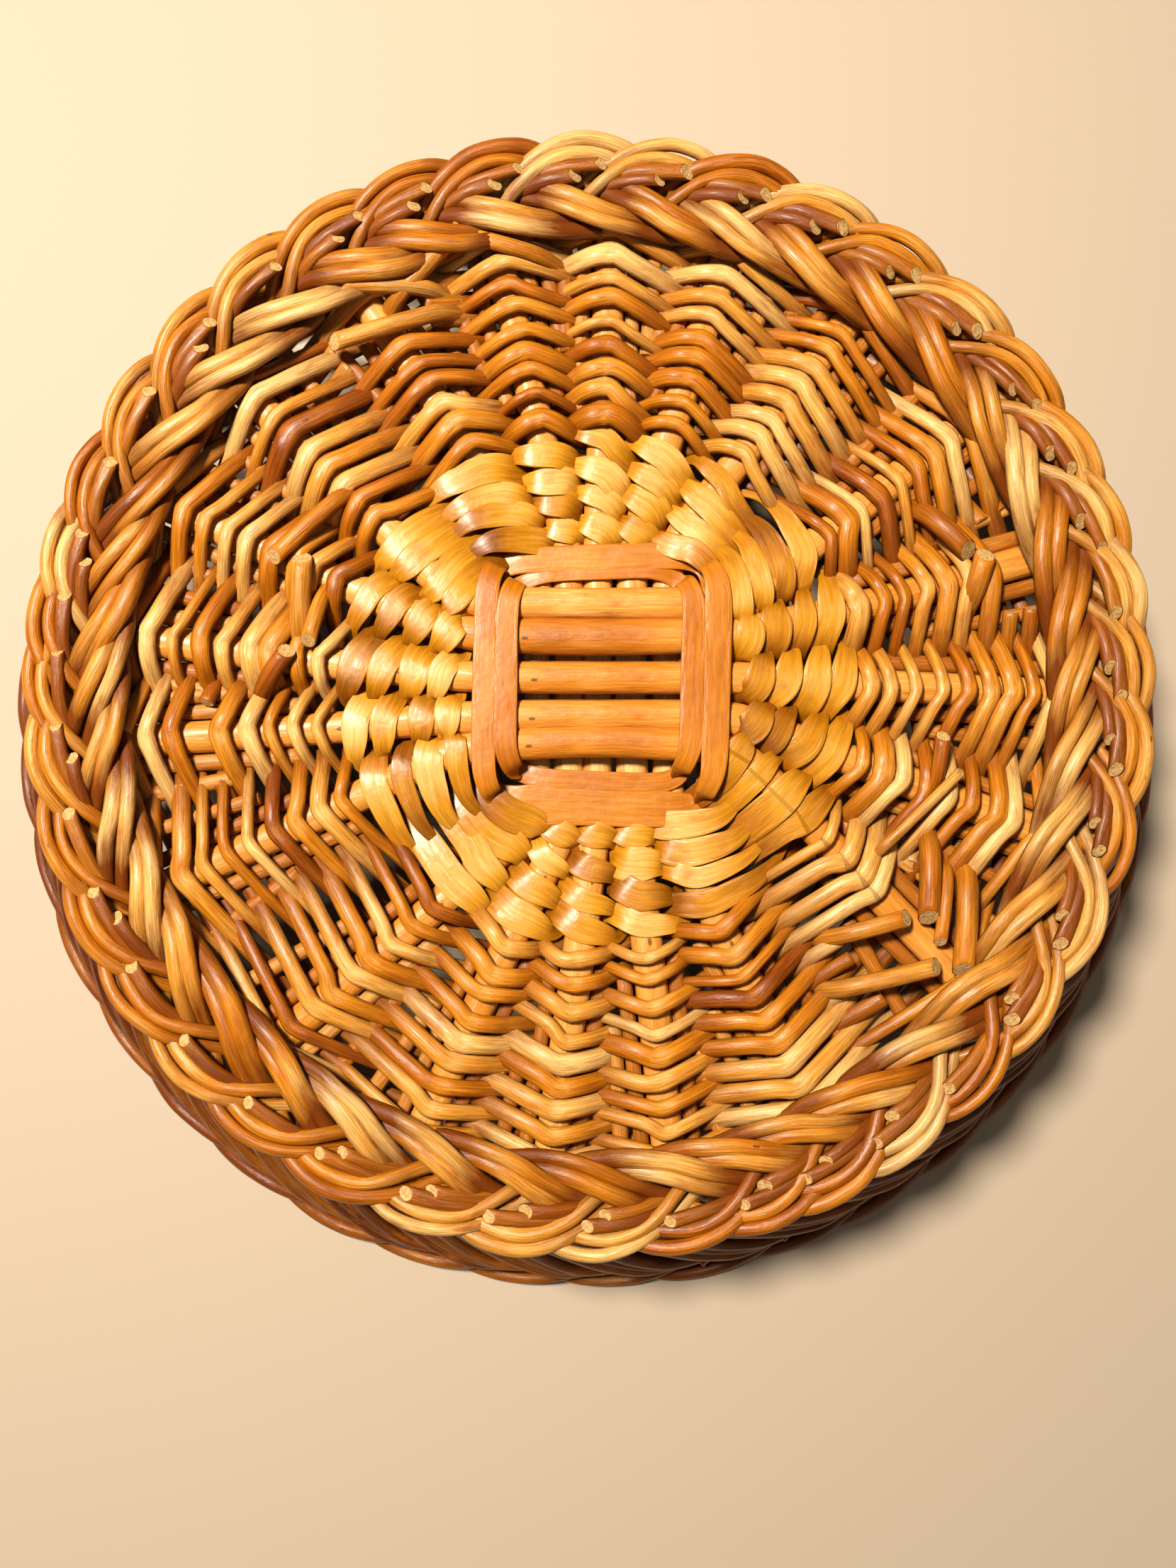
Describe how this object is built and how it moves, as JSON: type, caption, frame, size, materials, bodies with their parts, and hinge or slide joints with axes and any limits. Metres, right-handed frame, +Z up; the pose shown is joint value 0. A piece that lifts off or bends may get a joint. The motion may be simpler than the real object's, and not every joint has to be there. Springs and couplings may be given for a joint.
{
  "type": "bread basket",
  "caption": "Round, shallow willow bread basket with a woven base on a crossed-stick centre, an open flared wall of leaning stakes, and plaited foot and rim borders, lying upside down.",
  "frame": {"origin": "centre of the rim plait's outline on the plane that the upturned basket rests on", "axes": "+Z points up out of the woven underside, so the basket's mouth faces -Z; +X is the side to the right and -Y the side nearest the viewer as the basket lies"},
  "size_m": [0.2996, 0.2996, 0.056],
  "materials": {
    "base_stick": "varnished split willow stick, semi-gloss",
    "skein": "varnished flat willow skein, silky gloss",
    "weaver": "varnished round willow rod, gloss",
    "base_stake": "varnished round willow rod, semi-gloss",
    "wall_stake": "varnished round willow rod, gloss, darker",
    "plait": "varnished round willow rod, gloss, browned at the bends",
    "cut_end": "cut willow rod with a pale sawn end"
  },
  "bodies": {
    "root": {"over_stick_1": "base_stick", "over_stick_2": "base_stick", "over_stick_3": "base_stick", "over_stick_4": "base_stick", "over_stick_5": "base_stick", "under_stick_1": "base_stick", "under_stick_2": "base_stick", "under_stick_3": "base_stick", "under_stick_4": "base_stick", "under_stick_5": "base_stick", "binding_skein_a": "skein", "binding_skein_b": "skein", "skein_round_1": "skein", "skein_round_2": "skein", "skein_round_3": "skein", "skein_round_4": "skein", "rod_round_1": "weaver", "rod_round_2": "weaver", "rod_round_3": "weaver", "rod_round_4": "weaver", "rod_round_5": "weaver", "rod_round_6": "weaver", "rod_round_7": "weaver", "rod_round_8": "weaver", "rod_round_9": "weaver", "base_stakes_right": "base_stake", "base_stakes_far": "base_stake", "base_stakes_left": "base_stake", "base_stakes_near": "base_stake", "wall_stakes_right": "wall_stake", "wall_stakes_far": "wall_stake", "wall_stakes_left": "wall_stake", "wall_stakes_near": "wall_stake", "foot_outer_pairs": "plait", "foot_inner_pairs": "plait", "foot_cut_ends": "cut_end", "weaver_tails": "cut_end", "rim_outer_pairs": "plait", "rim_inner_pairs": "plait", "rim_cut_ends": "cut_end"}
  },
  "joints": []
}
